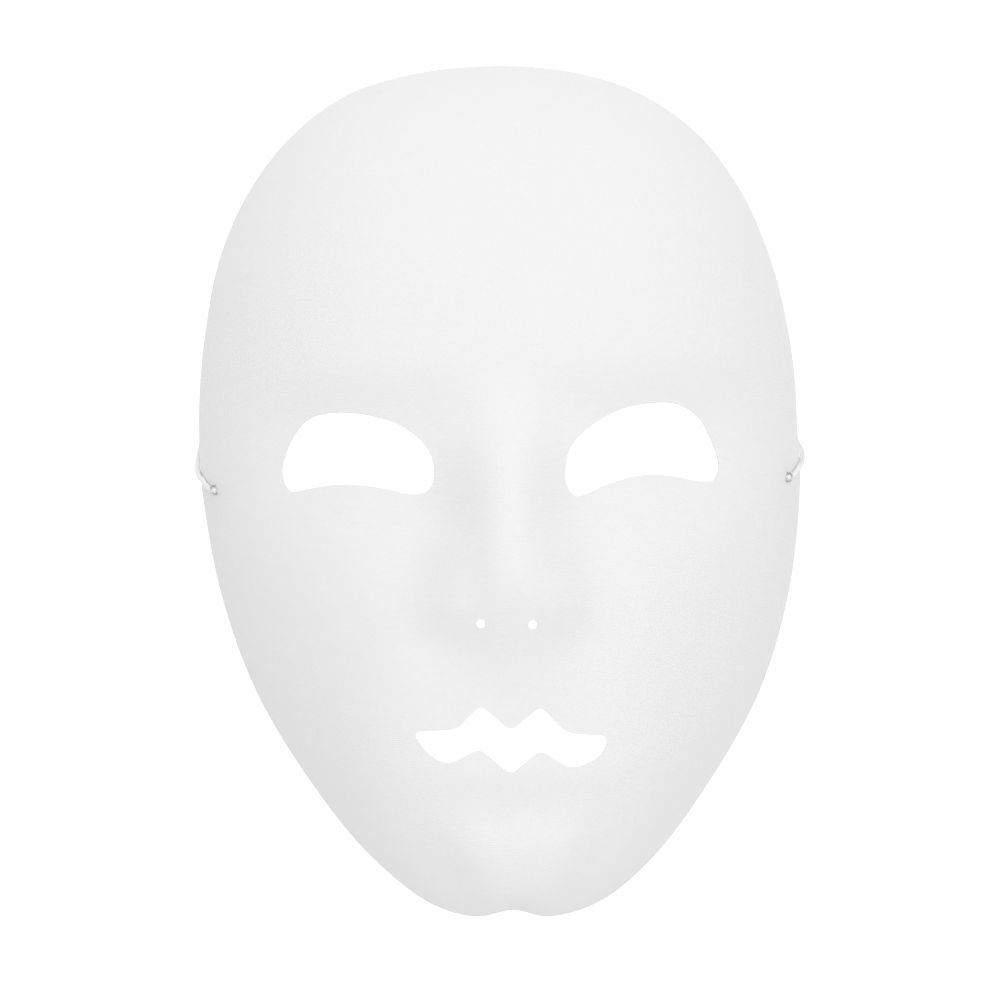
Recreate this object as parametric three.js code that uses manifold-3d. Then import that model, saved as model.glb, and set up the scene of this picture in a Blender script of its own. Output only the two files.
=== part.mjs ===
// Plain full-face masquerade mask. A woven cloth skin is hot-pressed over a stiff felt backing, the eyes, nostrils
// and mouth are die-cut through both, and one round elastic cord is stapled to the outside at each temple.
//
// Millimetres. The face looks along -Y, +X is to the right of someone facing it, +Z is up. The origin is the middle
// of the flat rim, level with the staples.

import * as THREE from 'three';
import * as BufferGeometryUtils from 'three/addons/utils/BufferGeometryUtils.js';
import Module from 'manifold-3d';

const wasm = await Module();
wasm.setup();

// ---- Driving dimensions ----

const DOME_HEIGHT = 56;
const CLOTH_THICKNESS = 0.45;
const LAYER_GAP = 0.15;
const BACKING_THICKNESS = 1.2;
const SHELL_THICKNESS = CLOTH_THICKNESS + LAYER_GAP + BACKING_THICKNESS;

const NOSTRIL_RADIUS = 1.3;
const NOSTRILS = [[-7.4, -36.7], [6.8, -37.3]];

const ELASTIC_RADIUS = 0.75;
const ELASTIC_SIDES = 8;
const STRAP_AXIS = { x: 80.5, y: 3.3, z: 17 };
const STRAP_LOW = -97;
const CATENARY_SCALE = 37.9;
const CORD_GAP = 0.3;

const STAPLE_WIRE_RADIUS = 0.25;
const STAPLE_CROWN = 3;
const STAPLE_CROWN_LIFT = 2.15;
const STAPLE_CLINCH_DEPTH = SHELL_THICKNESS + 1.1;
const STAPLE_CLINCH_LENGTH = 0.9;
const STAPLE_HOLE = 1.1;

const SKIN_RINGS = 18;
const SKIN_POLE = { x: 0, z: -24 };

// ---- Outlines, as [x, z] seen from the front ----

const RIM_OUTLINE = [
  [86.3, 2], [85.8, 15], [85.3, 31], [83.1, 48], [78.7, 66], [70.9, 84.5], [58.5, 101.4], [41.2, 113.5], [21.1, 119.7],
  [0, 121.5], [-21.1, 119.8], [-41.3, 114], [-58.5, 101.5], [-71.1, 84.9], [-79.1, 66.6], [-83.1, 48],
  [-85.2, 31], [-85.7, 15], [-85, 0],
  [-80.1, -29.2], [-69.8, -58.7], [-51.3, -89.1], [-38, -105], [-22.1, -117.6],
  [-9.6, -121.2], [0.8, -119.4], [10.6, -121.7],
  [25.1, -118.1], [39.2, -107.8], [53, -91.9], [72.5, -60.8], [82.5, -30],
];

const LEFT_EYE = [
  [-61.4, 5.7], [-59.1, 14.1], [-53.8, 20.7], [-46.5, 22.4], [-36, 21.2], [-26.9, 17.7], [-20.5, 11.3],
  [-19.1, 4.7], [-20.9, 0.2], [-24.8, -0.8], [-34.2, 1.2], [-45.3, 2.4], [-54.2, 1.4], [-59.2, 0.8],
];

const RIGHT_EYE = [
  [17.1, 4.5], [18.5, 10.8], [23.9, 16.6], [32.4, 21.3], [41.3, 23.1], [48.8, 22.8], [54.9, 19.3],
  [58.5, 13.3], [60.7, 5.3], [59.1, 1.3], [55.3, 1], [47, 2.7], [38.7, 3.1], [28.7, 0.7], [23.6, -1.5],
  [19.8, -2.3], [17.5, 0.5],
];

// Corners of the zig-zag mouth, each with how far along its edges the rounding reaches.
const MOUTH = [
  [-27.1, -66.2, 3.2], [-14.8, -65.9, 2.5], [-7.8, -59.2, 2], [0.3, -66.5, 2.2], [8.7, -59.9, 2],
  [15.8, -67.6, 3], [27.7, -68.6, 2.8], [25.3, -74.3, 2.8], [17.1, -77.8, 3.3], [8.4, -72.2, 1.9],
  [0.1, -78.6, 2], [-8.5, -71.3, 2], [-17.4, -75.8, 3.3], [-22.8, -72.5, 2.5],
];

function smoothOutline(points) {
  const corners = points.map(([x, z]) => new THREE.Vector3(x, z, 0));
  return new THREE.CatmullRomCurve3(corners, true, 'centripetal');
}

function smoothShape(points) {
  const samples = smoothOutline(points).getPoints(points.length * 3).slice(1);
  return new THREE.Shape(samples.map((p) => new THREE.Vector2(p.x, p.y)));
}

// A straight-sided outline whose corners are rounded off.
function roundedShape(corners) {
  const shape = new THREE.Shape();
  corners.forEach(([x, z, reach], i) => {
    const corner = new THREE.Vector2(x, z);
    const [before, after] = [corners.at(i - 1), corners[(i + 1) % corners.length]]
      .map(([nx, nz]) => new THREE.Vector2(nx, nz).sub(corner).setLength(reach).add(corner));
    if (i === 0) shape.moveTo(before.x, before.y);
    else shape.lineTo(before.x, before.y);
    shape.quadraticCurveTo(corner.x, corner.y, after.x, after.y);
  });
  shape.closePath();
  return shape;
}

// ---- The pressed face: height in front of the rim's plane ----

const rimSamples = smoothOutline(RIM_OUTLINE).getPoints(RIM_OUTLINE.length * 24).slice(1)
  .map((p) => ({ angle: Math.atan2(p.y, p.x), radius: Math.hypot(p.x, p.y) }))
  .sort((a, b) => a.angle - b.angle);

function turn(angle) {
  return THREE.MathUtils.euclideanModulo(angle, 2 * Math.PI);
}

// Distance from the origin to the rim in a given direction.
function rimRadius(angle) {
  const wrapped = Math.atan2(Math.sin(angle), Math.cos(angle));
  const next = rimSamples.findIndex((sample) => sample.angle > wrapped);
  const after = next < 0 ? rimSamples[0] : rimSamples[next];
  const before = next < 0 ? rimSamples.at(-1) : rimSamples.at(next - 1);
  const share = turn(wrapped - before.angle) / turn(after.angle - before.angle);
  return THREE.MathUtils.lerp(before.radius, after.radius, share);
}

// The same with the chin's notch and lobes averaged out: the face keeps to this until close to the rim.
function easedRimRadius(angle) {
  const reach = THREE.MathUtils.degToRad(10);
  let total = 0;
  for (let k = -4; k <= 4; k += 1) total += (5 - Math.abs(k)) * rimRadius(angle + (reach * k) / 4);
  return total / 25;
}

// 0 at the middle of the face and 1 at the rim, for a layer whose edge lies inset inside the rim.
function rimShare(x, z, inset) {
  const angle = Math.atan2(z, x);
  const exact = rimRadius(angle);
  const eased = easedRimRadius(angle);
  const radius = Math.hypot(x, z);
  let share = Math.min(radius / (exact - inset), 1);
  for (let pass = 0; pass < 8; pass += 1) {
    share = Math.min(radius / (eased + (exact - eased) * share ** 16 - inset), 1);
  }
  return share;
}

// The egg-shaped dome. It is squarer towards the chin, so that the chin stands forward.
function domeHeight(x, z, inset) {
  const share = rimShare(x, z, inset);
  const up = z / Math.max(Math.hypot(x, z), 1e-6);
  const chinward = Math.max(-up, 0) ** 6;
  const squareness = 2.2 + 0.5 * Math.max(up, 0) ** 2 + 7.5 * chinward;
  return (DOME_HEIGHT - inset) * (1 - share ** squareness) ** (0.62 - 0.28 * chinward);
}

// 0 before from, 1 after to, and smooth between.
function ramp(from, to, value) {
  const t = THREE.MathUtils.clamp((value - from) / (to - from), 0, 1);
  return t * t * (3 - 2 * t);
}

// 1 at centre, falling away to about a third at half, and flatter-topped with a higher power.
function hill(value, centre, half, power = 2) {
  return Math.exp(-(Math.abs((value - centre) / half) ** power));
}

// A smooth curve through [position, value] stations in rising order, level beyond its ends.
function profile(stations, position) {
  const last = stations.length - 1;
  if (position <= stations[0][0]) return stations[0][1];
  if (position >= stations[last][0]) return stations[last][1];
  const i = stations.findIndex(([at], k) => k < last && position < stations[k + 1][0] && position >= at);
  const slope = (k) => {
    if (k === 0 || k === last) return 0;
    return (stations[k + 1][1] - stations[k - 1][1]) / (stations[k + 1][0] - stations[k - 1][0]);
  };
  const width = stations[i + 1][0] - stations[i][0];
  const t = (position - stations[i][0]) / width;
  const rise = stations[i + 1][1] - stations[i][1];
  const startSlope = slope(i) * width;
  const endSlope = slope(i + 1) * width;
  return stations[i][1] + startSlope * t + (3 * rise - 2 * startSlope - endSlope) * t ** 2
    + (startSlope + endSlope - 2 * rise) * t ** 3;
}

// Height and half width of the nose at each level, and height of its wings.
const NOSE_HEIGHT = [
  [-56, 0], [-48, 2.5], [-41, 7.5], [-34, 12.8], [-27, 16.8], [-18, 18.6], [0, 17], [12, 13.4], [20, 8.4],
  [28, 2.8], [36, 0],
];
const NOSE_HALF_WIDTH = [[-48, 10], [-36, 12], [-22, 13], [0, 14.5], [14, 14.5], [30, 13]];
const WING_HEIGHT = [[-47, 0], [-42, 0.9], [-37, 4.4], [-32, 6.2], [-20, 3.6], [-6, 0]];

function noseHeight(x, z) {
  const ridge = profile(NOSE_HEIGHT, z) * hill(x, 0.8, profile(NOSE_HALF_WIDTH, z), 2.1);
  const wings = profile(WING_HEIGHT, z) * hill(Math.abs(x), 14.5, 8.5);
  return ridge + wings;
}

function mouthHeight(x, z) {
  const muzzle = 3.8 * hill(x, 0, 30, 2.4) * hill(z, -58, 22, 2.4);
  const lowerLip = 1.2 * hill(x, 0, 22, 2.6) * hill(z, -78, 5);
  const crease = 2.2 * hill(x, 1, 26, 3) * hill(z, -90, 7.5);
  return muzzle + lowerLip - crease;
}

function socketDepth(x, z) {
  return 5 * ramp(37, 16, z) * ramp(-34, 8, z) * ramp(84, 50, Math.abs(x));
}

// The chin's front narrows downwards, and the jaw is hollowed on both sides of it.
function chinHeight(x, z) {
  const front = hill(x, 2, 21 + 0.5 * (z + 97), 4);
  const jawHollows = 2.4 * (1 - front) * hill(z, -98, 16);
  return 5.2 * front * hill(z, -112, 30, 2.6) - jawHollows;
}

function reliefHeight(x, z) {
  const cheeks = 3 * hill(Math.abs(x), 48, 24) * hill(z, -20, 26);
  return noseHeight(x, z) + mouthHeight(x, z) + cheeks + chinHeight(x, z) - socketDepth(x, z);
}

function facePoint(x, z, inset) {
  const share = rimShare(x, z, inset);
  const height = share < 1 ? domeHeight(x, z, inset) + reliefHeight(x, z) * ramp(1, 0.93, share) : 0;
  return new THREE.Vector3(x, -height, z);
}

function faceNormal(x, z) {
  const step = 0.05;
  const across = facePoint(x + step, z, 0).sub(facePoint(x - step, z, 0));
  const upward = facePoint(x, z + step, 0).sub(facePoint(x, z - step, 0));
  return across.cross(upward).normalize();
}

// ---- Solids ----

function solidFrom(geometry) {
  const plain = new THREE.BufferGeometry();
  plain.setAttribute('position', geometry.getAttribute('position').clone());
  if (geometry.index) plain.setIndex(geometry.index.clone());
  const merged = BufferGeometryUtils.mergeVertices(plain, 1e-4);
  return new wasm.Manifold(new wasm.Mesh({
    numProp: 3,
    vertProperties: new Float32Array(merged.getAttribute('position').array),
    triVerts: new Uint32Array(merged.index.array),
  }));
}

function geometryFrom(solid) {
  const mesh = solid.getMesh();
  const geometry = new THREE.BufferGeometry();
  geometry.setAttribute('position', new THREE.BufferAttribute(new Float32Array(mesh.vertProperties), 3));
  geometry.setIndex(new THREE.BufferAttribute(new Uint32Array(mesh.triVerts), 1));
  geometry.computeVertexNormals();
  return geometry;
}

// One pressed layer between two insets: rings of points from the pole out to the rim, front and back alike.
function layerGeometry(frontInset, backInset) {
  const columns = 2 * RIM_OUTLINE.length;
  const rim = smoothOutline(RIM_OUTLINE).getPoints(columns).slice(1);
  const positions = [];
  for (const inset of [frontInset, backInset]) {
    positions.push(...facePoint(SKIN_POLE.x, SKIN_POLE.z, inset));
    for (let ring = 1; ring <= SKIN_RINGS; ring += 1) {
      const outward = Math.sin((Math.PI / 2) * (ring / SKIN_RINGS) ** 1.2);
      for (const point of rim) {
        const pull = 1 - inset / Math.hypot(point.x, point.y);
        const x = THREE.MathUtils.lerp(SKIN_POLE.x, point.x * pull, outward);
        const z = THREE.MathUtils.lerp(SKIN_POLE.z, point.y * pull, outward);
        const onFace = facePoint(x, z, inset);
        if (ring === SKIN_RINGS) onFace.y = 0;
        positions.push(...onFace);
      }
    }
  }
  const sideSize = 1 + SKIN_RINGS * columns;
  const at = (side, ring, column) => (
    side * sideSize + (ring === 0 ? 0 : 1 + (ring - 1) * columns + (column % columns))
  );
  const triangles = [];
  for (let column = 0; column < columns; column += 1) {
    for (let ring = 0; ring < SKIN_RINGS; ring += 1) {
      for (const side of [0, 1]) {
        const [a, b] = [at(side, ring, column), at(side, ring, column + 1)];
        const [c, d] = [at(side, ring + 1, column + 1), at(side, ring + 1, column)];
        const faces = ring === 0 ? [[a, d, c]] : [[a, d, c], [a, c, b]];
        for (const [i, j, k] of faces) triangles.push(...(side === 0 ? [i, j, k] : [i, k, j]));
      }
    }
    const [frontA, frontB] = [at(0, SKIN_RINGS, column), at(0, SKIN_RINGS, column + 1)];
    const [backA, backB] = [at(1, SKIN_RINGS, column), at(1, SKIN_RINGS, column + 1)];
    triangles.push(frontA, backA, backB, frontA, backB, frontB);
  }
  const geometry = new THREE.BufferGeometry();
  geometry.setAttribute('position', new THREE.Float32BufferAttribute(positions, 3));
  geometry.setIndex(triangles);
  return geometry;
}

// A die that cuts straight back through the face.
function cuttingDie(shape) {
  const reach = DOME_HEIGHT + 40;
  const die = new THREE.ExtrudeGeometry(shape, { depth: reach, bevelEnabled: false, curveSegments: 3 });
  die.rotateX(Math.PI / 2);
  die.translate(0, 5, 0);
  return solidFrom(die);
}

function nostrilDie([x, z]) {
  const outline = new THREE.Shape().absarc(x, z, NOSTRIL_RADIUS, 0, 2 * Math.PI);
  return cuttingDie(outline);
}

// ---- Staples ----

// Each staple stands on the outer cloth, its crown at a small tilt from upright.
const STAPLES = {
  left: { x: -80.7, z: 1.8, tilt: 14 },
  right: { x: 81.2, z: 1.7, tilt: -14 },
};

// The staple's own frame: X along the crown, Z out of the cloth.
function stapleFrame({ x, z, tilt }) {
  const outward = faceNormal(x, z);
  const sideways = new THREE.Vector3(0, 0, 1).cross(outward).normalize();
  const crown = outward.clone().cross(sideways).applyAxisAngle(outward, THREE.MathUtils.degToRad(tilt));
  const frame = new THREE.Matrix4().makeBasis(crown, outward.clone().cross(crown), outward);
  return frame.setPosition(facePoint(x, z, 0));
}

function stapleHoles(place) {
  return [-1, 1].map((end) => {
    const hole = new THREE.BoxGeometry(STAPLE_HOLE, STAPLE_HOLE, 4 * SHELL_THICKNESS);
    hole.translate((end * STAPLE_CROWN) / 2, 0, 0);
    return solidFrom(hole.applyMatrix4(stapleFrame(place)));
  });
}

function wireSection(radius, sides) {
  const corners = Array.from({ length: sides }, (_, i) => {
    const angle = (2 * Math.PI * i) / sides;
    return new THREE.Vector2(radius * Math.cos(angle), radius * Math.sin(angle));
  });
  return new THREE.Shape(corners);
}

function tubeGeometry(points, radius, sides, steps) {
  const path = new THREE.CatmullRomCurve3(points.map((p) => new THREE.Vector3(...p)), false, 'centripetal');
  return new THREE.ExtrudeGeometry(wireSection(radius, sides), { steps, extrudePath: path });
}

function stapleGeometry() {
  const half = STAPLE_CROWN / 2;
  const corner = 0.3;
  const tip = half - STAPLE_CLINCH_LENGTH;
  const rightHalf = [
    [half - corner, 0, STAPLE_CROWN_LIFT],
    [half, 0, STAPLE_CROWN_LIFT - corner],
    [half, 0, 0],
    [half, 0, corner - STAPLE_CLINCH_DEPTH],
    [half - corner, 0, -STAPLE_CLINCH_DEPTH],
    [tip, 0, -STAPLE_CLINCH_DEPTH],
  ];
  const leftHalf = rightHalf.map(([x, y, z]) => [-x, y, z]).reverse();
  return tubeGeometry([...leftHalf, ...rightHalf], STAPLE_WIRE_RADIUS, 6, 28);
}

// ---- Elastic ----

// From the free tail, under the staple, over the temple, round the rim and in behind it to the strap's axis.
const LEFT_END_ROUTE = [
  [-81, -16.3, 1.5], [-82.1, -14.2, 1.8], [-83.3, -11.6, 2.6], [-84.2, -9.7, 3.6], [-84.9, -7.8, 4.7],
  [-85.9, -4.6, 5.6], [-86.3, -2.4, 6.7], [-86.6, -0.2, 7.9], [-86.4, 1.6, 9.4], [-86, 2.8, 11.2],
  [-85.5, 3.3, 13.6], [-84.8, 3.3, 15.6], [-83.2, 3.3, 16.8], [-STRAP_AXIS.x, STRAP_AXIS.y, STRAP_AXIS.z],
];
const RIGHT_END_ROUTE = [
  [81.5, -17.1, 1.5], [82.2, -15.9, 1.8], [83.2, -14.2, 2.2], [84.4, -11.6, 3.2], [85.5, -8.6, 4.5],
  [86.6, -4.9, 5.8], [87.1, -2.4, 7], [87.3, -0.2, 8.1], [87, 1.6, 9.3], [86.3, 2.8, 10.9],
  [85.4, 3.3, 12.6], [84.4, 3.3, 14.7], [82.9, 3.3, 16.3], [STRAP_AXIS.x, STRAP_AXIS.y, STRAP_AXIS.z],
];

// The free length hangs in a catenary from the two points where the ends turn in behind the rim.
function loopRoute() {
  const turnIn = [[CORD_GAP, 0], [0.9, 0], [2.3, -0.9], [3, -2.7]];
  const rightSide = turnIn.map(([inward, up]) => [STRAP_AXIS.x - inward, STRAP_AXIS.y, STRAP_AXIS.z + up]);
  const widest = STRAP_AXIS.x - 4.2;
  const spans = 7;
  const hanging = [];
  for (let k = spans; k >= -spans; k -= 1) {
    const x = widest * Math.sin((Math.PI / 2) * (k / spans));
    const rise = CATENARY_SCALE * (Math.cosh(x / CATENARY_SCALE) - 1);
    hanging.push([x, STRAP_AXIS.y, STRAP_LOW + rise]);
  }
  const leftSide = rightSide.map(([x, y, z]) => [-x, y, z]).reverse();
  return [...rightSide, ...hanging, ...leftSide];
}

// ---- Assembly ----

const CLOTH_LOOK = { color: 0xf1eff0, roughness: 0.9, metalness: 0 };
const FELT_LOOK = { color: 0xe9e6e0, roughness: 1, metalness: 0 };
const ELASTIC_LOOK = { color: 0xf2f0ea, roughness: 0.8, metalness: 0 };
const WIRE_LOOK = { color: 0xc9cacc, roughness: 0.3, metalness: 1 };

const mask = new THREE.Group();

function addPiece(name, geometry, look) {
  const piece = new THREE.Mesh(geometry, new THREE.MeshStandardMaterial(look));
  piece.name = name;
  mask.add(piece);
  return piece;
}

const dies = [
  cuttingDie(smoothShape(LEFT_EYE)),
  cuttingDie(smoothShape(RIGHT_EYE)),
  cuttingDie(roundedShape(MOUTH)),
  ...NOSTRILS.map(nostrilDie),
  ...Object.values(STAPLES).flatMap(stapleHoles),
];

function cutLayer(frontInset, backInset) {
  const blank = solidFrom(layerGeometry(frontInset, backInset));
  return geometryFrom(dies.reduce((layer, die) => layer.subtract(die), blank));
}

addPiece('face_cloth', cutLayer(0, CLOTH_THICKNESS), CLOTH_LOOK);
addPiece('stiff_backing', cutLayer(CLOTH_THICKNESS + LAYER_GAP, SHELL_THICKNESS), FELT_LOOK);

addPiece('elastic_end_left', tubeGeometry(LEFT_END_ROUTE, ELASTIC_RADIUS, ELASTIC_SIDES, 14), ELASTIC_LOOK);
addPiece('elastic_end_right', tubeGeometry(RIGHT_END_ROUTE, ELASTIC_RADIUS, ELASTIC_SIDES, 15), ELASTIC_LOOK);
addPiece('elastic_loop', tubeGeometry(loopRoute(), ELASTIC_RADIUS, ELASTIC_SIDES, 76), ELASTIC_LOOK);

for (const [side, place] of Object.entries(STAPLES)) {
  const staple = addPiece(`staple_${side}`, stapleGeometry(), WIRE_LOOK);
  stapleFrame(place).decompose(staple.position, staple.quaternion, staple.scale);
}

export default mask;
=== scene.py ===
"""Looks of the plain full-face cloth mask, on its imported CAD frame. Metres, face towards -Y, +Z up."""
import math

import bpy
import numpy as np
from mathutils import Matrix, Vector
from mathutils.geometry import delaunay_2d_cdt


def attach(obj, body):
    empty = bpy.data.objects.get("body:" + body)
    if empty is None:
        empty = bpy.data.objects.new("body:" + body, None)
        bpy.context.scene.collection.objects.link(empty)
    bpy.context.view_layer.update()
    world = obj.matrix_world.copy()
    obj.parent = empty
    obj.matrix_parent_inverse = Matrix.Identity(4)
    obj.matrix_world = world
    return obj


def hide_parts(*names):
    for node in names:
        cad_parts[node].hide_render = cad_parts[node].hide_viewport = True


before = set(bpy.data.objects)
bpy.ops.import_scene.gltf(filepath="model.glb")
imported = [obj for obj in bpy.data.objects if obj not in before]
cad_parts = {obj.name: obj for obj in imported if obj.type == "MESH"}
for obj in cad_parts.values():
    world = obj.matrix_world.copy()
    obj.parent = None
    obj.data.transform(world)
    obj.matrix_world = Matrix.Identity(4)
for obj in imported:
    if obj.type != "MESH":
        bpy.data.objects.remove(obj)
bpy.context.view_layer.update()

MM = 0.001

# ---------------------------------------------------------------- dimensions, millimetres

DOME_HEIGHT = 56.0
CLOTH_THICKNESS = 0.45
LAYER_GAP = 0.03
SHELL_THICKNESS = 1.8
NOSTRIL_RADIUS = 1.3
NOSTRILS = [(-7.4, -36.7), (6.8, -37.3)]
ELASTIC_RADIUS = 0.75
WIRE_RADIUS = 0.25

# Outlines as (x, z) seen from the front.
RIM_OUTLINE = [
    (86.3, 2), (85.8, 15), (85.3, 31), (83.1, 48), (78.7, 66), (70.9, 84.5), (58.5, 101.4), (41.2, 113.5),
    (21.1, 119.7), (0, 121.5), (-21.1, 119.8), (-41.3, 114), (-58.5, 101.5), (-71.1, 84.9), (-79.1, 66.6),
    (-83.1, 48), (-85.2, 31), (-85.7, 15), (-85, 0), (-80.1, -29.2), (-69.8, -58.7), (-51.3, -89.1),
    (-38, -105), (-22.1, -117.6), (-9.6, -121.2), (0.8, -119.4), (10.6, -121.7), (25.1, -118.1),
    (39.2, -107.8), (53, -91.9), (72.5, -60.8), (82.5, -30),
]
LEFT_EYE = [
    (-61.4, 5.7), (-59.1, 14.1), (-53.8, 20.7), (-46.5, 22.4), (-36, 21.2), (-26.9, 17.7), (-20.5, 11.3),
    (-19.1, 4.7), (-20.9, 0.2), (-24.8, -0.8), (-34.2, 1.2), (-45.3, 2.4), (-54.2, 1.4), (-59.2, 0.8),
]
RIGHT_EYE = [
    (17.1, 4.5), (18.5, 10.8), (23.9, 16.6), (32.4, 21.3), (41.3, 23.1), (48.8, 22.8), (54.9, 19.3),
    (58.5, 13.3), (60.7, 5.3), (59.1, 1.3), (55.3, 1), (47, 2.7), (38.7, 3.1), (28.7, 0.7), (23.6, -1.5),
    (19.8, -2.3), (17.5, 0.5),
]
# Corners of the zig-zag mouth, each with how far along its edges the rounding reaches.
MOUTH = [
    (-27.1, -66.2, 3.2), (-14.8, -65.9, 2.5), (-7.8, -59.2, 2), (0.3, -66.5, 2.2), (8.7, -59.9, 2),
    (15.8, -67.6, 3), (27.7, -68.6, 2.8), (25.3, -74.3, 2.8), (17.1, -77.8, 3.3), (8.4, -72.2, 1.9),
    (0.1, -78.6, 2), (-8.5, -71.3, 2), (-17.4, -75.8, 3.3), (-22.8, -72.5, 2.5),
]
# The nose at each level: height of its ridge, half width of its ridge, and height of its wings.
NOSE_HEIGHT = [
    (-56, 0), (-48, 2.5), (-41, 7.5), (-34, 12.8), (-27, 16.8), (-18, 18.6), (0, 17), (12, 13.4), (20, 8.4),
    (28, 2.8), (36, 0),
]
NOSE_HALF_WIDTH = [(-48, 10), (-36, 12), (-22, 13), (0, 14.5), (14, 14.5), (30, 13)]
WING_HEIGHT = [(-47, 0), (-42, 0.9), (-37, 4.4), (-32, 6.2), (-20, 3.6), (-6, 0)]

# ---------------------------------------------------------------- outlines

RIM_SPAN_STEPS = 24
EYE_SPAN_STEPS = 12
EYE_POINT_GAP = 0.7
MOUTH_POINT_GAP = 0.6
FEWEST_POINTS = 12
CORNER_POINTS = 9
NOSTRIL_POINTS = 24


def smooth_outline(points, steps):
    """Points along the closed centripetal Catmull-Rom curve through the given ones."""
    corners = np.array(points, float)
    samples = []
    for i in range(len(corners)):
        p0, p1, p2, p3 = (corners[(i + k) % len(corners)] for k in (-1, 0, 1, 2))
        samples.extend(curve_span(p0, p1, p2, p3, steps))
    return np.array(samples)


def open_curve(points, steps):
    """The same through an open row of points, its last point included."""
    row = np.array(points, float)
    padded = np.vstack([2 * row[0] - row[1], row, 2 * row[-1] - row[-2]])
    samples = []
    for i in range(1, len(padded) - 2):
        samples.extend(curve_span(*padded[i - 1:i + 3], steps))
    samples.append(row[-1])
    return np.array(samples)


def curve_span(p0, p1, p2, p3, steps):
    """The curve's stretch from p1 up to p2, whose slopes there come from p0 and p3 too."""
    d0, d1, d2 = (math.sqrt(np.linalg.norm(b - a)) for a, b in ((p0, p1), (p1, p2), (p2, p3)))
    start = ((p1 - p0) / d0 - (p2 - p0) / (d0 + d1) + (p2 - p1) / d1) * d1
    end = ((p2 - p1) / d1 - (p3 - p1) / (d1 + d2) + (p3 - p2) / d2) * d1
    rise = p2 - p1
    for k in range(steps):
        t = k / steps
        yield p1 + start * t + (3 * rise - 2 * start - end) * t ** 2 + (start + end - 2 * rise) * t ** 3


def even_spacing(points, step):
    """The closed outline again, with points a step apart."""
    ring = np.vstack([points, points[:1]])
    along = np.concatenate([[0], np.cumsum(np.linalg.norm(np.diff(ring, axis=0), axis=1))])
    count = max(FEWEST_POINTS, round(along[-1] / step))
    places = np.arange(count) / count * along[-1]
    return np.column_stack([np.interp(places, along, ring[:, k]) for k in range(2)])


def rounded_outline(corners):
    """A straight-sided outline whose corners are rounded off."""
    samples = []
    for i, (x, z, reach) in enumerate(corners):
        corner = np.array([x, z])
        ends = []
        for other in (corners[i - 1], corners[(i + 1) % len(corners)]):
            edge = np.array(other[:2]) - corner
            ends.append(corner + edge / np.linalg.norm(edge) * reach)
        for t in np.linspace(0, 1, CORNER_POINTS):
            samples.append(ends[0] * (1 - t) ** 2 + corner * 2 * t * (1 - t) + ends[1] * t ** 2)
    return np.array(samples)


def circle_outline(centre, radius, count):
    angles = np.arange(count) / count * 2 * math.pi
    return np.column_stack([centre[0] + radius * np.cos(angles), centre[1] + radius * np.sin(angles)])


RIM = smooth_outline(RIM_OUTLINE, RIM_SPAN_STEPS)
EYES = [even_spacing(smooth_outline(eye, EYE_SPAN_STEPS), EYE_POINT_GAP) for eye in (LEFT_EYE, RIGHT_EYE)]
LIPS = [even_spacing(rounded_outline(MOUTH), MOUTH_POINT_GAP)]
OPENINGS = EYES + LIPS + [circle_outline(centre, NOSTRIL_RADIUS, NOSTRIL_POINTS) for centre in NOSTRILS]

# ---------------------------------------------------------------- the pressed face, as in the CAD

NOTCH_SPREAD = math.radians(10)
NOTCH_STEPS = 4
NOTCH_POWER = 16
SHARE_PASSES = 8
RIPPLE_WAVES = 14
RIPPLE_LENGTHS = (14, 45)
RIPPLE_HEIGHT = 0.035


def around(points, centre):
    """Angle and distance of an outline's points about a centre."""
    away = np.asarray(points) - centre
    return np.unwrap(np.arctan2(away[:, 1], away[:, 0])), np.hypot(away[:, 0], away[:, 1])


RIM_ANGLE, RIM_RADIUS = around(RIM, np.zeros(2))


def rim_radius(angle):
    """Distance from the origin to the rim in a given direction."""
    return np.interp(angle, RIM_ANGLE, RIM_RADIUS, period=2 * math.pi)


def eased_rim_radius(angle):
    """The same with the chin's notch and lobes averaged out: the face keeps to this but for its edge."""
    total = 0.0
    for k in range(-NOTCH_STEPS, NOTCH_STEPS + 1):
        total = total + (NOTCH_STEPS + 1 - abs(k)) * rim_radius(angle + NOTCH_SPREAD * k / NOTCH_STEPS)
    return total / (NOTCH_STEPS + 1) ** 2


def ramp(start, end, value):
    """0 before start, 1 after end, and smooth between."""
    t = np.clip((value - start) / (end - start), 0, 1)
    return t * t * (3 - 2 * t)


def hill(value, centre, half, power=2.0):
    """1 at centre, falling away to about a third at half, and flatter-topped with a higher power."""
    return np.exp(-np.abs((value - centre) / half) ** power)


def profile(stations, place):
    """A smooth curve through (place, value) stations in rising order, level beyond its ends."""
    at, value = (np.array(column, float) for column in zip(*stations))
    slope = np.zeros(len(at))
    slope[1:-1] = (value[2:] - value[:-2]) / (at[2:] - at[:-2])
    place = np.clip(place, at[0], at[-1])
    i = np.clip(np.searchsorted(at, place, side="right") - 1, 0, len(at) - 2)
    width = at[i + 1] - at[i]
    t = (place - at[i]) / width
    rise = value[i + 1] - value[i]
    start, end = slope[i] * width, slope[i + 1] * width
    return value[i] + start * t + (3 * rise - 2 * start - end) * t ** 2 + (start + end - 2 * rise) * t ** 3


def rim_share(x, z, inset):
    """0 at the middle of the face and 1 at the rim, for a layer whose edge lies inset inside the rim."""
    angle = np.arctan2(z, x)
    exact, eased = rim_radius(angle), eased_rim_radius(angle)
    radius = np.hypot(x, z)
    share = np.minimum(radius / (exact - inset), 1)
    for _ in range(SHARE_PASSES):
        share = np.minimum(radius / (eased + (exact - eased) * share ** NOTCH_POWER - inset), 1)
    return share


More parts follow.
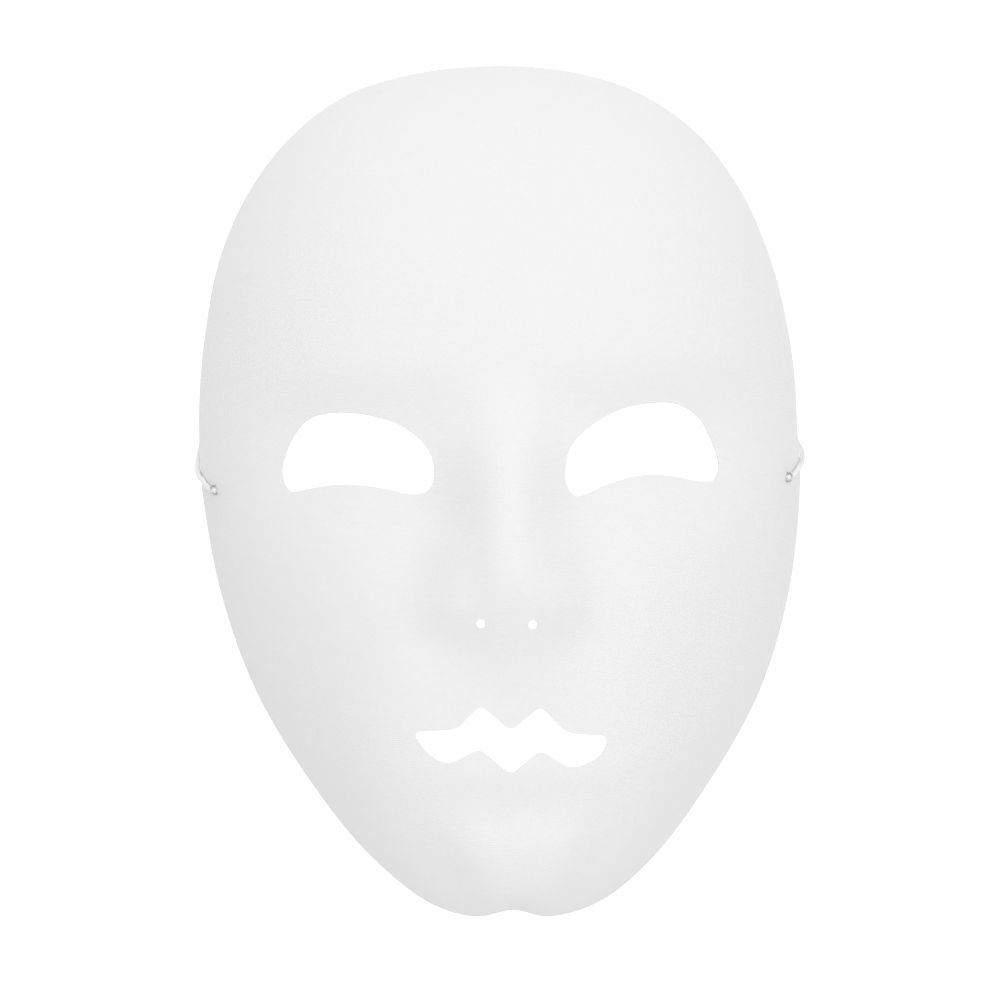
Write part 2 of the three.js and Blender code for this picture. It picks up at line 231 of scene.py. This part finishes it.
def relief_height(x, z):
    """What stands out of the egg-shaped dome or sinks into it. Each part is a height times its hills."""
    side = np.abs(x)
    ridge = profile(NOSE_HEIGHT, z) * hill(x, 0.8, profile(NOSE_HALF_WIDTH, z), 2.1)
    wings = profile(WING_HEIGHT, z) * hill(side, 14.5, 8.5)
    muzzle = 3.8 * hill(x, 0, 30, 2.4) * hill(z, -58, 22, 2.4)
    lower_lip = 1.2 * hill(x, 0, 22, 2.6) * hill(z, -78, 5)
    crease = 2.2 * hill(x, 1, 26, 3) * hill(z, -90, 7.5)
    cheeks = 3 * hill(side, 48, 24) * hill(z, -20, 26)
    chin_front = hill(x, 2, 21 + 0.5 * (z + 97), 4)
    chin = 5.2 * chin_front * hill(z, -112, 30, 2.6)
    jaw_hollows = 2.4 * (1 - chin_front) * hill(z, -98, 16)
    sockets = 5 * ramp(37, 16, z) * ramp(-34, 8, z) * ramp(84, 50, side)
    return ridge + wings + muzzle + lower_lip - crease + cheeks + chin - jaw_hollows - sockets


def face_height(x, z, inset=0.0):
    """Height of a pressed layer in front of the rim's plane. The dome is squarer towards the chin."""
    share = rim_share(x, z, inset)
    up = z / np.maximum(np.hypot(x, z), 1e-6)
    chinward = np.maximum(-up, 0) ** 6
    squareness = 2.2 + 0.5 * np.maximum(up, 0) ** 2 + 7.5 * chinward
    dome = (DOME_HEIGHT - inset) * (1 - share ** squareness) ** (0.62 - 0.28 * chinward)
    return np.where(share < 1, dome + relief_height(x, z) * ramp(1, 0.93, share), 0.0)


def face_point(x, z):
    return np.array([x, -float(face_height(np.array(float(x)), np.array(float(z)))), z])


def face_normal(x, z):
    step = 0.05
    across = face_point(x + step, z) - face_point(x - step, z)
    upward = face_point(x, z + step) - face_point(x, z - step)
    normal = np.cross(across, upward)
    return normal / np.linalg.norm(normal)


def pressing_ripple(x, z):
    """The slight unevenness that hot pressing leaves, a sum of seeded waves."""
    source = np.random.default_rng(5)
    total = np.zeros_like(x)
    for _ in range(RIPPLE_WAVES):
        length = source.uniform(*RIPPLE_LENGTHS)
        heading, phase = source.uniform(0, 2 * math.pi, 2)
        total += np.sin((x * math.cos(heading) + z * math.sin(heading)) * 2 * math.pi / length + phase)
    return RIPPLE_HEIGHT * total / math.sqrt(RIPPLE_WAVES)


# ---------------------------------------------------------------- mesh helpers


def new_piece(name, points_mm, faces, material):
    mesh = bpy.data.meshes.new(name)
    mesh.from_pydata((np.asarray(points_mm) * MM).tolist(), [], [tuple(int(i) for i in f) for f in faces])
    mesh.validate()
    mesh.materials.append(material)
    mesh.polygons.foreach_set("use_smooth", [True] * len(mesh.polygons))
    piece = bpy.data.objects.new(name, mesh)
    bpy.context.scene.collection.objects.link(piece)
    return piece


def store_vector(piece, name, values):
    """Keeps three numbers at each point, for the material to read."""
    attribute = piece.data.attributes.new(name, "FLOAT_VECTOR", "POINT")
    attribute.data.foreach_set("vector", np.asarray(values, np.float32).ravel())


def mark_sharp(piece, pairs):
    """Edges between these pairs of points keep a crisp line."""
    wanted = {(min(a, b), max(a, b)) for a, b in pairs}
    for edge in piece.data.edges:
        a, b = edge.vertices
        if (min(a, b), max(a, b)) in wanted:
            edge.use_edge_sharp = True


def inside(points, outline):
    """Which points lie inside a closed outline."""
    x, z = points[:, 0:1], points[:, 1:2]
    a, b = outline, np.roll(outline, -1, axis=0)
    spans = (a[:, 1] > z) != (b[:, 1] > z)
    with np.errstate(divide="ignore", invalid="ignore"):
        crossing = a[:, 0] + (z - a[:, 1]) * (b[:, 0] - a[:, 0]) / (b[:, 1] - a[:, 1])
    return (np.sum(spans & (x < crossing), axis=1) % 2) == 1


# ---------------------------------------------------------------- node helper


class Look:
    """A material and the short calls that fill its node tree."""

    def __init__(self, name, **shader_values):
        self.material = bpy.data.materials.new(name)
        self.material.use_nodes = True
        self.tree = self.material.node_tree
        self.shader = self.tree.nodes["Principled BSDF"]
        for socket, value in shader_values.items():
            self.shader.inputs[socket.replace("_", " ")].default_value = value

    def node(self, kind, values=None, **settings):
        """A new node, with its settings set and its inputs given or linked."""
        node = self.tree.nodes.new("ShaderNode" + kind)
        for key, value in settings.items():
            setattr(node, key, value)
        for socket, value in (values or {}).items():
            self.feed(node.inputs[socket], value)
        return node

    def feed(self, socket, value):
        if isinstance(value, bpy.types.NodeSocket):
            self.tree.links.new(value, socket)
        else:
            socket.default_value = value

    def math(self, operation, *values):
        node = self.node("Math", dict(enumerate(values)), operation=operation)
        return node.outputs[0]

    def noise(self, vector, scale, detail=3.0, roughness=0.55):
        """Noise with scale cells to the metre."""
        values = {"Vector": vector, "Scale": scale, "Detail": detail, "Roughness": roughness}
        return self.node("TexNoise", values).outputs["Fac"]

    def place(self):
        return self.node("TexCoord").outputs["Object"]

    def attribute(self, name):
        return self.node("Attribute", attribute_name=name).outputs["Vector"]

    def parts(self, vector):
        """The first two numbers of a vector."""
        outputs = self.node("SeparateXYZ", {0: vector}).outputs
        return outputs[0], outputs[1]

    def between(self, factor, low, high):
        """A colour from low to high as factor goes from 0 to 1."""
        node = self.node("Mix", {"Factor": factor}, data_type="RGBA")
        colour_a, colour_b, mixed = node.inputs[6], node.inputs[7], node.outputs[2]
        self.feed(colour_a, (*low, 1.0) if isinstance(low, tuple) else low)
        self.feed(colour_b, (*high, 1.0) if isinstance(high, tuple) else high)
        return mixed

    def spread(self, value, low, high):
        """value, which runs from 0 to 1, stretched to run from low to high."""
        return self.math("MULTIPLY_ADD", value, high - low, low)

    def colour(self, value):
        self.feed(self.shader.inputs["Base Color"], value)

    def roughness(self, value):
        self.feed(self.shader.inputs["Roughness"], value)

    def bump(self, height, distance_mm, strength=1.0):
        values = {"Height": height, "Distance": distance_mm * MM, "Strength": strength}
        self.feed(self.shader.inputs["Normal"], self.node("Bump", values).outputs["Normal"])


COLUMN_PITCH = 0.47
ROW_PITCH = 0.66
THREAD_WANDER = 1.6


def plain_weave(look, across, along, column_pitch, row_pitch):
    """Height, 0 to 1, of a plain weave whose rows stand out more than its columns."""
    u = look.math("MULTIPLY", across, math.pi / column_pitch)
    v = look.math("MULTIPLY", along, math.pi / row_pitch)
    rows, columns = look.math("SINE", v), look.math("SINE", u)
    row_lift = look.math("MULTIPLY", look.math("COSINE", u), rows)
    column_lift = look.math("MULTIPLY", look.math("COSINE", v), columns)
    row_wave = look.math("MULTIPLY", row_lift, 0.15)
    column_wave = look.math("MULTIPLY", column_lift, -0.25)
    weft = look.math("MULTIPLY_ADD", look.math("ABSOLUTE", rows), 0.85, row_wave)
    warp = look.math("MULTIPLY_ADD", look.math("ABSOLUTE", columns), 0.35, column_wave)
    return look.math("MAXIMUM", weft, warp)


def wandering_threads(look, place):
    """Where a point lies among the threads, which wander a little from their straight lines."""
    wander = look.node("TexNoise", {"Vector": place, "Scale": 45.0, "Detail": 2.0}).outputs["Color"]
    shift = look.node("VectorMath", {0: wander, 1: (0.5, 0.5, 0.5)}, operation="SUBTRACT").outputs[0]
    shift = look.node("VectorMath", {0: shift, "Scale": THREAD_WANDER}, operation="SCALE").outputs[0]
    straight = look.attribute("thread_place")
    threads = look.node("VectorMath", {0: straight, 1: shift}, operation="ADD").outputs[0]
    return look.parts(threads)


def cloth_look():
    """Matt white plain weave, painted darker between its threads as painted shade, with pressed mottling,
    lint and a few dark specks of wear.
    """
    look = Look("white_cloth", Sheen_Weight=0.25, Sheen_Roughness=0.4, Specular_IOR_Level=0.25)
    place = look.place()
    across, along = wandering_threads(look, place)
    weave = plain_weave(look, across, along, COLUMN_PITCH, ROW_PITCH)
    mottle = look.noise(place, 420.0, 4.0, 0.75)
    lint = look.noise(place, 1700.0, 2.0)
    cloud = look.noise(place, 40.0, 2.0)
    # The weave's low places between threads are given a darker colour: painted shade between the threads.
    tone = look.math("ADD", look.spread(weave, -0.04, 0.016), look.spread(mottle, -0.06, 0.06))
    tone = look.math("ADD", tone, look.spread(lint, -0.05, 0.05))
    tone = look.math("ADD", tone, look.spread(cloud, 0.48, 0.52))
    base = look.between(tone, (0.755, 0.752, 0.754), (0.975, 0.963, 0.968))
    speck = look.node("TexVoronoi", {"Vector": place, "Scale": 150.0})
    near = look.math("LESS_THAN", speck.outputs["Distance"], 0.022)
    chosen = look.math("GREATER_THAN", look.parts(speck.outputs["Color"])[0], 0.86)
    speckled = look.math("MULTIPLY", look.math("MULTIPLY", near, chosen), 0.6)
    look.colour(look.between(speckled, base, (0.42, 0.4, 0.38)))
    look.roughness(look.spread(mottle, 0.82, 1.0))
    height = look.math("ADD", weave, look.spread(mottle, 0.0, 1.3))
    look.bump(height, 0.07, 0.8)
    return look.material


def felt_look():
    """Off-white felt: fine strands lying three ways, and soft clouds of tone."""
    look = Look("pressed_felt", Sheen_Weight=0.35, Sheen_Roughness=0.5, Specular_IOR_Level=0.2)
    place = look.place()
    strand_noises = []
    for turn in (0.3, 1.4, 2.5):
        values = {"Vector": place, "Rotation": (turn, turn * 1.7, turn * 0.6), "Scale": (1.0, 1.0, 9.0)}
        stretched = look.node("Mapping", values).outputs[0]
        strand_noises.append(look.noise(stretched, 420.0, 3.0, 0.6))
    strands = look.math("MAXIMUM", look.math("MAXIMUM", strand_noises[0], strand_noises[1]), strand_noises[2])
    cloud = look.noise(place, 55.0, 3.0)
    tone = look.math("ADD", look.spread(strands, -0.7, 0.7), look.spread(cloud, 0.1, 0.6))
    look.colour(look.between(tone, (0.70, 0.675, 0.63), (0.88, 0.865, 0.83)))
    look.roughness(look.spread(cloud, 0.85, 1.0))
    look.bump(look.math("ADD", strands, look.spread(cloud, 0.0, 0.5)), 0.22, 0.9)
    return look.material


def elastic_look():
    """White braid: two sets of ribs that wind opposite ways round the cord, painted darker in the grooves
    between them as painted shade.
    """
    look = Look("white_elastic", Sheen_Weight=0.2, Specular_IOR_Level=0.35)
    along, turn = look.parts(look.attribute("cord_place"))
    ribs = []
    for way in (1.0, -1.0):
        phase = look.math("MULTIPLY_ADD", turn, 4.0 * way, look.math("MULTIPLY", along, 1.15))
        ribs.append(look.math("ABSOLUTE", look.math("SINE", look.math("MULTIPLY", phase, math.pi))))
    braid = look.math("MAXIMUM", ribs[0], ribs[1])
    fluff = look.noise(look.place(), 1800.0, 2.0)
    # The grooves between the ribs are given a darker colour: painted shade.
    tone = look.math("ADD", look.spread(braid, 0.1, 0.75), look.spread(fluff, -0.2, 0.2))
    look.colour(look.between(tone, (0.80, 0.80, 0.785), (0.97, 0.97, 0.96)))
    look.roughness(look.spread(fluff, 0.55, 0.85))
    look.bump(braid, 0.1, 0.9)
    return look.material


def wire_look():
    """Bright drawn wire with dark patches: partly tarnish, partly painted dark reflection."""
    look = Look("staple_wire", Metallic=1.0, Anisotropic=0.4)
    place = look.place()
    drawn = look.noise(look.node("Mapping", {"Vector": place, "Scale": (1.0, 1.0, 0.15)}).outputs[0], 9000.0)
    tarnish_and_painted_reflection = look.noise(place, 900.0, 2.0)
    # The dark end of this colour is painted dark reflection, so the wire shows dark beside its highlights, as
    # well as tarnish.
    look.colour(look.between(tarnish_and_painted_reflection, (0.32, 0.32, 0.33), (0.84, 0.84, 0.85)))
    look.roughness(look.spread(drawn, 0.14, 0.36))
    look.bump(drawn, 0.01, 0.4)
    return look.material


# ---------------------------------------------------------------- camera

CAMERA_DISTANCE = 1.5
VIEW_WIDTH = 0.2865
CAMERA_YAW = math.radians(1.2)
CAMERA_ROLL = math.radians(1.3)
CAMERA_TARGET = Vector((0, 0, -0.0029))


def add_camera():
    """Facing the mask from well back, turned and rolled by just over a degree."""
    data = bpy.data.cameras.new("camera")
    data.sensor_width = 36.0
    data.lens = data.sensor_width * CAMERA_DISTANCE / VIEW_WIDTH
    camera = bpy.data.objects.new("camera", data)
    towards = Vector((math.sin(CAMERA_YAW), math.cos(CAMERA_YAW), 0))
    place = Matrix.Translation(CAMERA_TARGET - towards * CAMERA_DISTANCE)
    aim = towards.to_track_quat("-Z", "Y").to_matrix().to_4x4()
    camera.matrix_world = place @ aim @ Matrix.Rotation(-CAMERA_ROLL, 4, "Z")
    bpy.context.scene.collection.objects.link(camera)
    bpy.context.scene.camera = camera


add_camera()

# ---------------------------------------------------------------- elastic

STRAP_AXIS = np.array([80.5, 3.3, 17.0])
STRAP_LOW = -97.0
CATENARY_SCALE = 37.9
LEFT_END_ROUTE = [
    (-81, -16.3, 1.5), (-82.1, -14.2, 1.8), (-83.3, -11.6, 2.6), (-84.2, -9.7, 3.6), (-84.9, -7.8, 4.7),
    (-85.9, -4.6, 5.6), (-86.3, -2.4, 6.7), (-86.6, -0.2, 7.9), (-86.4, 1.6, 9.4), (-86, 2.8, 11.2),
    (-85.5, 3.3, 13.6), (-84.8, 3.3, 15.6), (-83.2, 3.3, 16.8), (-80.5, 3.3, 17),
]
RIGHT_END_ROUTE = [
    (81.5, -17.1, 1.5), (82.2, -15.9, 1.8), (83.2, -14.2, 2.2), (84.4, -11.6, 3.2), (85.5, -8.6, 4.5),
    (86.6, -4.9, 5.8), (87.1, -2.4, 7), (87.3, -0.2, 8.1), (87, 1.6, 9.3), (86.3, 2.8, 10.9),
    (85.4, 3.3, 12.6), (84.4, 3.3, 14.7), (82.9, 3.3, 16.3), (80.5, 3.3, 17),
]
# How far inward and up of the strap's axis each point lies where the free length starts.
TURN_IN = [(0.0, 0.0), (0.9, 0.0), (2.3, -0.9), (3.0, -2.7)]
ROUTE_SPAN_STEPS = 24
HANGING_INSET = 4.2
HANGING_SPANS = 7
CORD_SIDES = 16
LOOP_STEP = 0.75
TAIL_STEP = 0.35

# Places along a pinned end: its cut tip's rounding, and the staple's crossing.
TIP_LENGTH = 0.7
STAPLE_PLACE = 1.4
STAPLE_NIP_REACH = 0.55
STAPLE_NIP_DEPTH = 0.12
# How far, and which way seen from above, a pinned end moves to rest on the cloth.
SEAT_GAP = 0.22
SEAT_INWARD, SEAT_BACK = 0.88, 0.47


def loop_route():
    """The free length, from the right end to the left one: straight in along the axis, then a catenary."""
    axis_x, axis_y, axis_z = STRAP_AXIS
    right_side = [(axis_x - inward, axis_y, axis_z + up) for inward, up in TURN_IN]
    widest = axis_x - HANGING_INSET
    hanging = []
    for k in range(HANGING_SPANS, -HANGING_SPANS - 1, -1):
        x = widest * math.sin(math.pi / 2 * k / HANGING_SPANS)
        hanging.append((x, axis_y, STRAP_LOW + CATENARY_SCALE * (math.cosh(x / CATENARY_SCALE) - 1)))
    left_side = [(-x, y, z) for x, y, z in reversed(right_side)]
    return right_side + hanging + left_side


def even_route(points, step):
    """Points a step apart along the smooth curve through a route."""
    fine = open_curve(points, ROUTE_SPAN_STEPS)
    along = np.concatenate([[0], np.cumsum(np.linalg.norm(np.diff(fine, axis=0), axis=1))])
    count = round(along[-1] / step)
    places = np.linspace(0, along[-1], count + 1)
    return np.column_stack([np.interp(places, along, fine[:, k]) for k in range(3)]), places


def sweep(name, route, step, sides, material, radii):
    """A closed tube along a route. radii(place, length) gives its half width and half height there."""
    centres, places = even_route(route, step)
    tangents = np.gradient(centres, axis=0)
    tangents /= np.linalg.norm(tangents, axis=1)[:, None]
    side = np.cross(tangents[0], (0.31, 0.9, 0.3))
    points, marks = [], []
    for centre, tangent, place in zip(centres, tangents, places):
        side = side - tangent * np.dot(side, tangent)
        side /= np.linalg.norm(side)
        other = np.cross(tangent, side)
        wide, high = radii(place, places[-1])
        for k in range(sides):
            angle = 2 * math.pi * k / sides
            points.append(centre + side * math.cos(angle) * wide + other * math.sin(angle) * high)
            marks.append((place, k / sides, 0.0))
    faces = []
    for ring in range(len(centres) - 1):
        for k in range(sides):
            a, b = ring * sides + k, ring * sides + (k + 1) % sides
            faces.append((a, b, b + sides, a + sides))
    faces.append(tuple(reversed(range(sides))))
    faces.append(tuple(range((len(centres) - 1) * sides, len(centres) * sides)))
    piece = new_piece(name, points, faces, material)
    store_vector(piece, "cord_place", marks)
    return piece, centres


def whole_cord(place, length):
    return ELASTIC_RADIUS, ELASTIC_RADIUS


def pinned_cord(place, length):
    """The end of the elastic: rounded at its cut tip and nipped where the staple crosses it."""
    tip = math.sqrt(max(0.05, 1 - (1 - min(place / TIP_LENGTH, 1)) ** 2))
    nip = math.exp(-((place - STAPLE_PLACE) / STAPLE_NIP_REACH) ** 2)
    radius = ELASTIC_RADIUS * tip * (1 - STAPLE_NIP_DEPTH * nip)
    return radius, radius


def seated(route):
    """The route with its part over the front moved in until the cord rests on the cloth."""
    moved = []
    for x, y, z in route:
        onto = SEAT_GAP * ramp(3.0, -1.0, y)
        moved.append((x - math.copysign(SEAT_INWARD * onto, x), y + SEAT_BACK * onto, z))
    return moved


def add_elastic(material):
    loop, loop_centres = sweep("elastic_strap", loop_route(), LOOP_STEP, CORD_SIDES, material,
                               whole_cord)
    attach(loop, "strap")
    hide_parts("elastic_loop")
    for side, route in (("left", LEFT_END_ROUTE), ("right", RIGHT_END_ROUTE)):
        end, _ = sweep(f"elastic_tail_{side}", seated(route), TAIL_STEP, CORD_SIDES, material,
                       pinned_cord)
        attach(end, "shell")
        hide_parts(f"elastic_end_{side}")


add_elastic(elastic_look())

# ---------------------------------------------------------------- pressed layers

# The sheet is meshed as a flat disc of even triangles, whose pole lies on the nose.
GRID_STEP = 1.7
GRID_ROW_STEP = GRID_STEP * math.sqrt(0.75)
GRID_RADIUS = 130.0
GRID_POLE = np.array([0.0, -24.0])
GRID_EASING = 1.2
POLE_ANGLE, POLE_RADIUS = around(RIM, GRID_POLE)
CLOTH_EDGE_BULGE = 0.05
FELT_EDGE_BULGE = 0.1


def to_grid(points):
    """Places on the face as places on the flat disc that the pressed sheet is meshed in."""
    angle, radius = around(points, GRID_POLE)
    outward = radius / np.interp(angle, POLE_ANGLE, POLE_RADIUS, period=2 * math.pi)
    share = (np.arcsin(np.minimum(outward, 1)) * 2 / math.pi) ** (1 / GRID_EASING)
    return GRID_RADIUS * share[:, None] * np.column_stack([np.cos(angle), np.sin(angle)])


def from_grid(points):
    """Places on the disc back as places on the face, and how far towards the rim each one is."""
    radius = np.hypot(points[:, 0], points[:, 1])
    angle = np.arctan2(points[:, 1], points[:, 0])
    share = np.minimum(radius / GRID_RADIUS, 1)
    rim = np.interp(angle, POLE_ANGLE, POLE_RADIUS, period=2 * math.pi)
    reach = np.sin(math.pi / 2 * share ** GRID_EASING) * rim
    return GRID_POLE + reach[:, None] * np.column_stack([np.cos(angle), np.sin(angle)]), share


def field_points(holes):
    """Evenly spaced points over the disc, clear of its edge and of the holes."""
    rows = int(GRID_RADIUS / GRID_ROW_STEP) + 1
    columns = int(GRID_RADIUS / GRID_STEP) + 1
    j, i = np.meshgrid(np.arange(-rows, rows + 1), np.arange(-columns, columns + 1), indexing="ij")
    field = np.column_stack([((i + 0.5 * (j % 2)) * GRID_STEP).ravel(), (j * GRID_ROW_STEP).ravel()])
    field = field[np.hypot(field[:, 0], field[:, 1]) < GRID_RADIUS - 0.5 * GRID_STEP]
    for hole in holes:
        field = field[~inside(field, hole)]
        gap = np.min(np.linalg.norm(field[:, None] - hole[None], axis=2), axis=1)
        field = field[gap > 0.55 * GRID_STEP]
    return field


def sheet_mesh():
    """The flat sheet: its points on the disc and its triangles, with the openings left out."""
    borders = [to_grid(RIM)] + [to_grid(outline) for outline in OPENINGS]
    field = field_points(borders[1:])
    points = [field]
    edges = []
    start = len(field)
    for border in borders:
        count = len(border)
        edges += [(start + k, start + (k + 1) % count) for k in range(count)]
        points.append(border)
        start += count
    points = np.vstack(points)
    result = delaunay_2d_cdt([Vector(p) for p in points], edges, [], 1, 1e-6)
    places = np.array([tuple(v) for v in result[0]])
    triangles = np.array(result[2])
    centres = places[triangles].mean(axis=1)
    keep = np.ones(len(triangles), bool)
    for border in borders[1:]:
        keep &= ~inside(centres, border)
    triangles = triangles[keep]
    used = np.unique(triangles)
    renumber = np.full(len(places), -1)
    renumber[used] = np.arange(len(used))
    return places[used], renumber[triangles]


def border_edges(triangles):
    """Directed edges that only one triangle has."""
    directed = np.vstack([triangles[:, [0, 1]], triangles[:, [1, 2]], triangles[:, [2, 0]]])
    known = {(int(a), int(b)) for a, b in directed}
    return [(a, b) for a, b in known if (b, a) not in known]


SHEET_POINTS, SHEET_TRIANGLES = sheet_mesh()
SHEET_BORDER = border_edges(SHEET_TRIANGLES)


def layer_points(inset):
    """The sheet's points pressed to the face, for a surface that lies inset behind the cloth's front."""
    flat, share = from_grid(SHEET_POINTS)
    reach = np.maximum(np.hypot(flat[:, 0], flat[:, 1]), 1.0)
    flat = flat * (1 - inset * ramp(0.8, 1.0, share) / reach)[:, None]
    height = face_height(flat[:, 0], flat[:, 1], inset)
    height = height + pressing_ripple(flat[:, 0], flat[:, 1]) * ramp(1.0, 0.9, share)
    height[share > 0.99999] = 0.0
    return np.column_stack([flat[:, 0], -height, flat[:, 1]])


def thread_places(points):
    """Where each point lay on the cloth before pressing, which the weave follows."""
    share = np.clip(rim_share(points[:, 0], points[:, 2], 0.0), 1e-3, 1)
    stretch = 1 + 0.6 * (np.arcsin(share) / share - 1)
    return np.column_stack([points[:, 0] * stretch, points[:, 2] * stretch, np.zeros(len(points))])


def add_layer(name, node, front_inset, back_inset, bulge, material):
    """A pressed layer: its front, its back and a slightly bulging cut edge round every border."""
    front, back = layer_points(front_inset), layer_points(back_inset)
    count = len(front)
    border = sorted({a for a, _ in SHEET_BORDER})
    outward = {a: np.zeros(3) for a in border}
    for a, b in SHEET_BORDER:
        run = front[b] - front[a]
        away = np.array([run[2], 0, -run[0]])
        for end in (a, b):
            outward[end] += away / max(np.linalg.norm(away), 1e-9)
    middle = {a: 2 * count + k for k, a in enumerate(border)}
    belly = []
    for a in border:
        push = outward[a] / max(np.linalg.norm(outward[a]), 1e-9)
        belly.append((front[a] + back[a]) / 2 + bulge * push)
    faces = [tuple(t) for t in SHEET_TRIANGLES]
    faces += [(c + count, b + count, a + count) for a, b, c in SHEET_TRIANGLES]
    for a, b in SHEET_BORDER:
        faces.append((b, a, middle[a], middle[b]))
        faces.append((middle[b], middle[a], a + count, b + count))
    points = np.vstack([front, back, belly])
    piece = new_piece(name, points, faces, material)
    mark_sharp(piece, SHEET_BORDER + [(a + count, b + count) for a, b in SHEET_BORDER])
    store_vector(piece, "thread_place", thread_places(points))
    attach(piece, "shell")
    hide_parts(node)


add_layer(
    "cloth_skin", "face_cloth", 0.0, CLOTH_THICKNESS,
    CLOTH_EDGE_BULGE, cloth_look(),
)
add_layer(
    "felt_shell", "stiff_backing", CLOTH_THICKNESS + LAYER_GAP, SHELL_THICKNESS,
    FELT_EDGE_BULGE, felt_look(),
)

# ---------------------------------------------------------------- staples

# Each staple's x, z and tilt from upright in degrees.
STAPLES = {"left": (-80.7, 1.8, 14), "right": (81.2, 1.7, -14)}
CROWN_HALF = 1.25
CROWN_LIFT = 1.45
CLINCH_DEPTH = SHELL_THICKNESS + 0.3
WIRE_STEP = 0.12
WIRE_SIDES = 12
WIRE_POINT_LENGTH = 0.35


def staple_frame(x, z, tilt):
    """The staple's own axes: X along the crown, Z out of the cloth."""
    outward = face_normal(x, z)
    sideways = np.cross((0, 0, 1), outward)
    sideways /= np.linalg.norm(sideways)
    crown = Matrix.Rotation(math.radians(tilt), 3, Vector(outward)) @ Vector(np.cross(outward, sideways))
    crown = np.array(crown)
    return face_point(x, z), np.array([crown, np.cross(outward, crown), outward])


def pointed_wire(place, length):
    """The staple's wire, which narrows to a point at both ends."""
    point = min(1.0, 0.25 + min(place, length - place) / WIRE_POINT_LENGTH)
    return WIRE_RADIUS * point, WIRE_RADIUS * point


def add_staple(side, material):
    """The staple, drawn as half its wire from the crown's middle to the clinched tip, and mirrored."""
    origin, axes = staple_frame(*STAPLES[side])
    half = [
        (0, CROWN_LIFT + 0.06), (0.7, CROWN_LIFT + 0.04), (CROWN_HALF - 0.3, CROWN_LIFT - 0.04),
        (CROWN_HALF - 0.02, CROWN_LIFT - 0.4), (CROWN_HALF, 0.6), (CROWN_HALF, -0.6),
        (CROWN_HALF, 0.35 - CLINCH_DEPTH), (CROWN_HALF - 0.35, -CLINCH_DEPTH - 0.02),
        (CROWN_HALF - 0.95, 0.12 - CLINCH_DEPTH),
    ]
    path = [(-x, z) for x, z in reversed(half)] + half[1:]
    route = [origin + axes[0] * x + axes[2] * z for x, z in path]

    name = f"wire_staple_{side}"
    staple, _ = sweep(name, route, WIRE_STEP, WIRE_SIDES, material, pointed_wire)
    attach(staple, "shell")
    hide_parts(f"staple_{side}")


WIRE_LOOK = wire_look()
for staple_side in STAPLES:
    add_staple(staple_side, WIRE_LOOK)

# ---------------------------------------------------------------- stage and light

AMBIENT = 0.765
WALL_GLOW = 0.6
# Each light's place in metres, its disc's diameter in metres and its power in watts.
LIGHTS = {
    "key_right": ((0.26, -1.97, 0.35), 0.9, 8.0),
    "fill_top": ((0.0, -0.6, 1.7), 1.0, 4.6),
}


def add_stage():
    """A pale floor well below the mask and a bright white wall well behind it."""
    floor = Look("studio_floor", Roughness=0.9)
    floor.colour((0.86, 0.86, 0.855, 1.0))
    wall = Look("studio_wall", Roughness=0.9)
    wall.colour((0.9, 0.9, 0.9, 1.0))
    wall.shader.inputs["Emission Color"].default_value = (1.0, 1.0, 1.0, 1.0)
    wall.shader.inputs["Emission Strength"].default_value = WALL_GLOW
    low, near, far, side, top = -0.6, -4.0, 3.0, 5.0, 4.0
    corners = [(-side, near, low), (side, near, low), (side, far, low), (-side, far, low)]
    new_piece("studio_floor", np.array(corners) / MM, [(0, 1, 2, 3)], floor.material)
    corners = [(-side, far, low), (side, far, low), (side, far, top), (-side, far, top)]
    new_piece("studio_wall", np.array(corners) / MM, [(0, 1, 2, 3)], wall.material)


def add_area_light(name, place, size, power):
    """A round light that faces the middle of the mask."""
    data = bpy.data.lights.new(name, "AREA")
    data.shape = "DISK"
    data.size = size
    data.energy = power
    light = bpy.data.objects.new(name, data)
    light.location = place
    light.rotation_mode = "QUATERNION"
    light.rotation_quaternion = (-Vector(place)).to_track_quat("-Z", "Y")
    bpy.context.scene.collection.objects.link(light)


def add_lights():
    world = bpy.data.worlds.new("studio")
    world.use_nodes = True
    world.node_tree.nodes["Background"].inputs["Color"].default_value = (1, 1, 1, 1)
    world.node_tree.nodes["Background"].inputs["Strength"].default_value = AMBIENT
    bpy.context.scene.world = world
    bpy.context.scene.view_settings.view_transform = "Standard"
    for name, (place, size, power) in LIGHTS.items():
        add_area_light(name, place, size, power)


add_stage()
add_lights()
